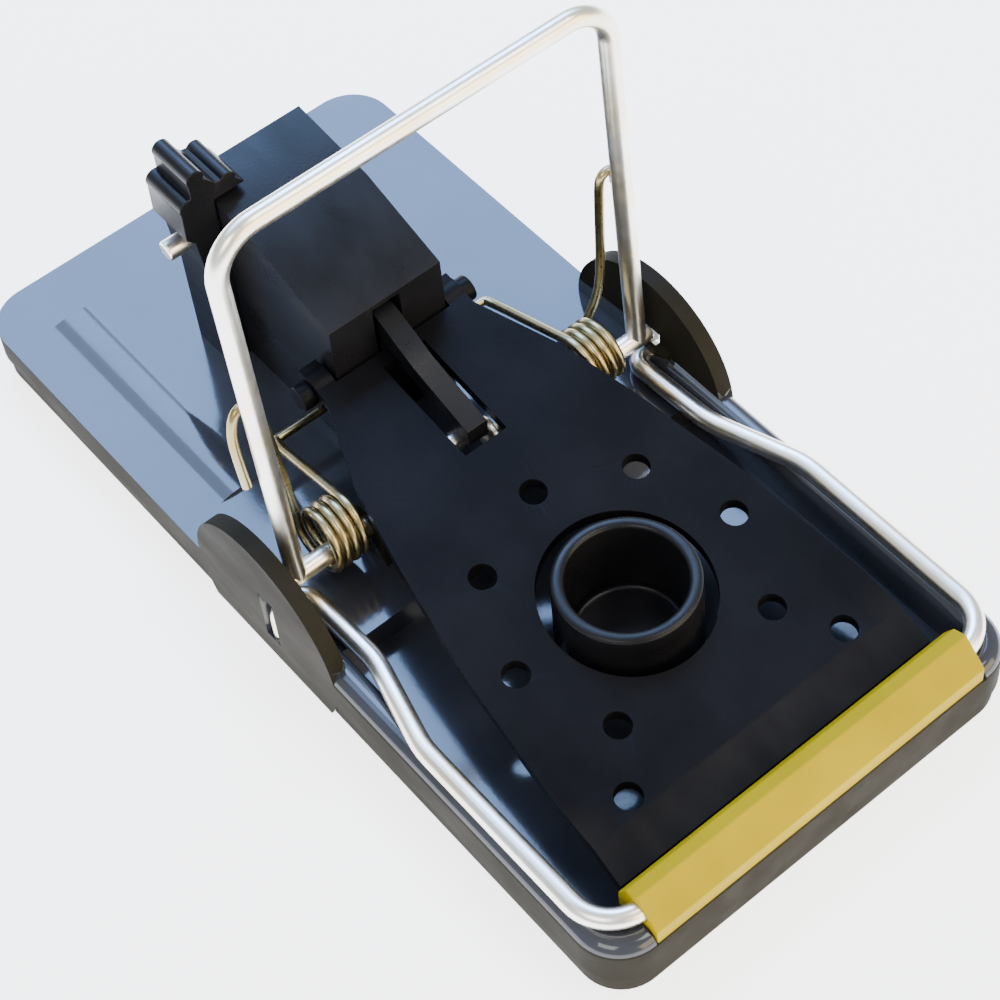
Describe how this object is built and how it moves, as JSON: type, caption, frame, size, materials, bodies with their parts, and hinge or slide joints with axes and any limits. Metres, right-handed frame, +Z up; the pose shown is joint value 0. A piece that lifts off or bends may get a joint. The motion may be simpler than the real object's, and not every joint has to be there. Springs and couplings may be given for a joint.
{
  "type": "snap mouse trap",
  "caption": "Spring-driven snap mouse trap: moulded tray, wire striker bail on torsion springs, fixed wire anvil with impact bar, sloping trip pedal round a bait cup, and a catch housing.",
  "frame": {"origin": "centre of the tray's footprint, on the surface it stands on", "axes": "+Z up, +X to the right seen from the impact bar's end, +Y from the impact bar towards the trigger housing"},
  "size_m": [0.0516, 0.104, 0.0571],
  "materials": {
    "tray_plastic": "slate blue-grey moulded plastic with a soft gloss",
    "black_plastic": "near-black moulded plastic, satin",
    "bar_plastic": "yellow moulded plastic with a soft sheen",
    "plated_wire": "bright zinc-plated round steel wire",
    "spring_wire": "drawn spring steel wire with a yellowish passivation"
  },
  "bodies": {
    "frame": {"base_tray": "tray_plastic", "impact_bar": "bar_plastic", "anvil_wire": "plated_wire", "bait_cup": "black_plastic", "trigger_housing": "black_plastic", "left_spring": "spring_wire", "right_spring": "spring_wire"},
    "striker": {"strike_bail": "plated_wire"},
    "pedal": {"trip_pedal": "black_plastic", "pedal_pin": "black_plastic"},
    "latch": {"catch_arm": "black_plastic", "latch_pin": "plated_wire", "latch_lever": "black_plastic"}
  },
  "joints": [
    {"name": "striker_swing", "type": "hinge", "parent": "frame", "child": "striker", "pos_m": [0, -0.001, 0.0105], "axis": [1, 0, 0], "range_deg": [0, 92], "deforming": ["left_spring", "right_spring"]},
    {"name": "pedal_press", "type": "hinge", "parent": "frame", "child": "pedal", "pos_m": [0, 0.0122, 0.016], "axis": [1, 0, 0], "range_deg": [0, 2.2], "stiffness_Nm_per_rad": 0.1},
    {"name": "catch_lift", "type": "hinge", "parent": "frame", "child": "latch", "pos_m": [0, 0.031, 0.0235], "axis": [1, 0, 0], "range_deg": [-2.2, 0]}
  ],
  "couplings": [
    {"joint": "catch_lift", "follows": "pedal_press", "ratio": -1}
  ]
}
